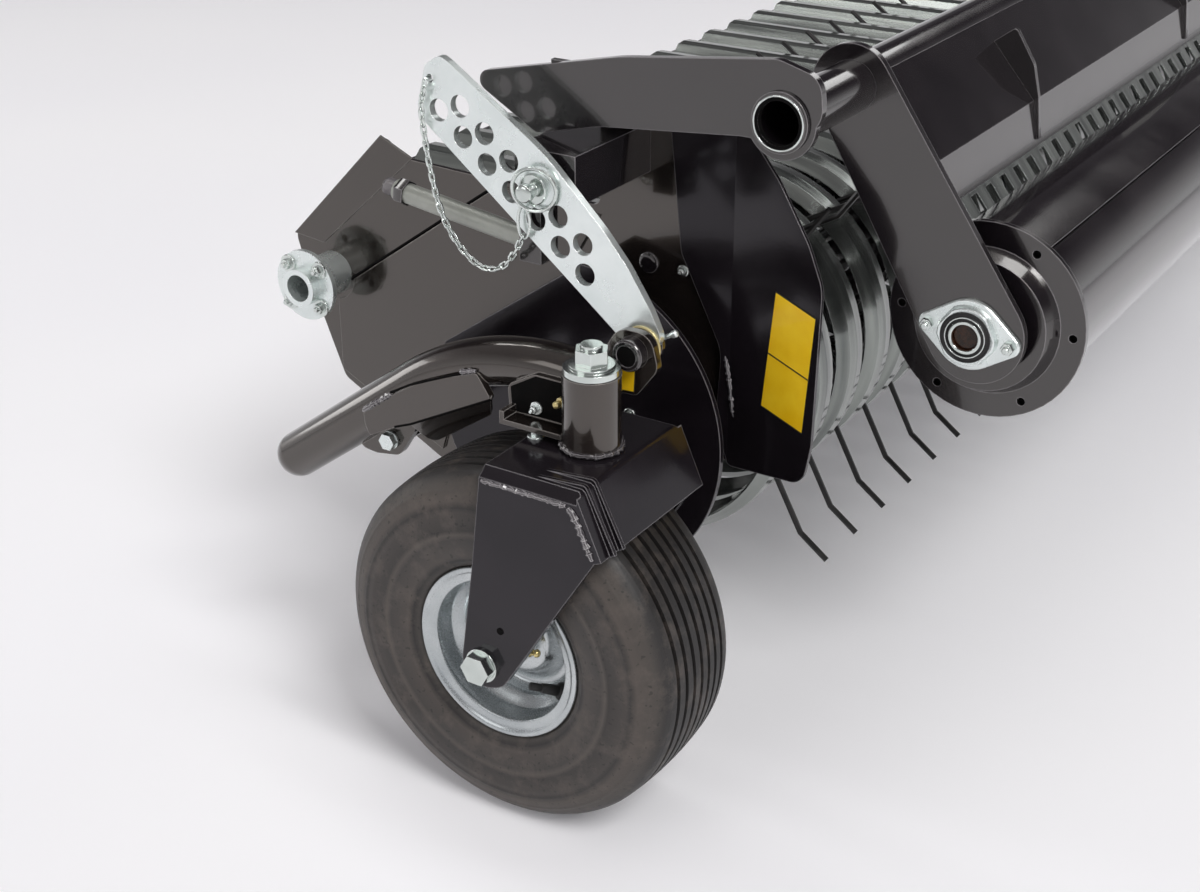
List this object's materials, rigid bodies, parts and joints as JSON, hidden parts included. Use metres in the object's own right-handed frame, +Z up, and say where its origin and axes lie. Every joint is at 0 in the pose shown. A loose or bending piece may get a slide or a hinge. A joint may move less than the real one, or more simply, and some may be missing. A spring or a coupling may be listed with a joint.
{
  "type": "round baler pickup",
  "caption": "Pickup unit of a towed round baler: tine reel in crowned stripper bands, roller wind guard, two castering gauge wheels on height-set arms.",
  "frame": {"origin": "on the pivot axis that carries the pickup under the baler, at its mid-plane", "axes": "+X forward in the direction of travel, +Y to the machine's left, +Z up"},
  "size_m": [0.865, 2.504, 0.7316],
  "materials": {
    "black_paint": "gloss",
    "band_steel": "gloss",
    "spring_steel": "satin",
    "zinc_plate": "satin",
    "silver_paint": "satin",
    "rubber": "matte"
  },
  "bodies": {
    "frame": {"pivot_tube": "black_paint", "pivot_flanges": "zinc_plate", "side_plate_left": "black_paint", "side_plate_right": "black_paint", "end_disc_left": "black_paint", "end_disc_right": "black_paint", "side_guard_left": "black_paint", "side_guard_right": "black_paint", "stripper_bands": "band_steel", "band_rail_upper": "black_paint", "band_rail_lower": "black_paint", "guard_bar_left": "black_paint", "guard_bar_right": "black_paint", "guard_brackets": "black_paint", "carrier_arm_left": "black_paint", "carrier_arm_right": "black_paint", "carrier_pivots": "zinc_plate", "pivot_bosses": "black_paint", "height_bar_left": "zinc_plate", "height_bar_right": "zinc_plate", "bar_pivots": "black_paint", "receiver_beams": "black_paint", "height_pin_left": "zinc_plate", "height_pin_right": "zinc_plate", "tie_rods": "zinc_plate"},
    "reel": {"reel_shaft": "black_paint", "reel_spiders": "black_paint", "tine_bars": "black_paint", "tines": "spring_steel"},
    "wind_guard": {"hinge_tube": "black_paint", "guard_arm_left": "black_paint", "guard_arm_right": "black_paint", "flange_bearings": "zinc_plate", "comb_strip": "band_steel", "deflector_sheet": "black_paint", "guard_panel": "black_paint", "guard_ribs": "black_paint"},
    "crop_roller": {"crop_roller": "black_paint", "roller_discs": "black_paint"},
    "caster_left": {"fork_left": "black_paint", "kingpin_left": "zinc_plate", "axle_bolt_left": "zinc_plate"},
    "caster_right": {"fork_right": "black_paint", "kingpin_right": "zinc_plate", "axle_bolt_right": "zinc_plate"},
    "gauge_wheel_left": {"rim_left": "silver_paint", "tyre_left": "rubber"},
    "gauge_wheel_right": {"rim_right": "silver_paint", "tyre_right": "rubber"}
  },
  "joints": [
    {"name": "reel_spin", "type": "hinge", "parent": "frame", "child": "reel", "pos_m": [0.377, 0, -0.046], "axis": [0, 1, 0], "continuous": true},
    {"name": "wind_guard_lift", "type": "hinge", "parent": "frame", "child": "wind_guard", "pos_m": [0.583, 0, 0.28], "axis": [0, -1, 0], "range_deg": [0, 35]},
    {"name": "crop_roller_spin", "type": "hinge", "parent": "wind_guard", "child": "crop_roller", "pos_m": [0.716, 0, 0.07], "axis": [0, 1, 0], "continuous": true},
    {"name": "caster_swivel_left", "type": "hinge", "parent": "frame", "child": "caster_left", "pos_m": [0.464, 1.15, 0.03], "axis": [0, 0, 1], "range_deg": [-15, 15]},
    {"name": "gauge_wheel_spin_left", "type": "hinge", "parent": "caster_left", "child": "gauge_wheel_left", "pos_m": [0.4, 1.15, -0.215], "axis": [0, 1, 0], "continuous": true},
    {"name": "caster_swivel_right", "type": "hinge", "parent": "frame", "child": "caster_right", "pos_m": [0.464, -1.15, 0.03], "axis": [0, 0, 1], "range_deg": [-15, 15]},
    {"name": "gauge_wheel_spin_right", "type": "hinge", "parent": "caster_right", "child": "gauge_wheel_right", "pos_m": [0.4, -1.15, -0.215], "axis": [0, 1, 0], "continuous": true}
  ]
}
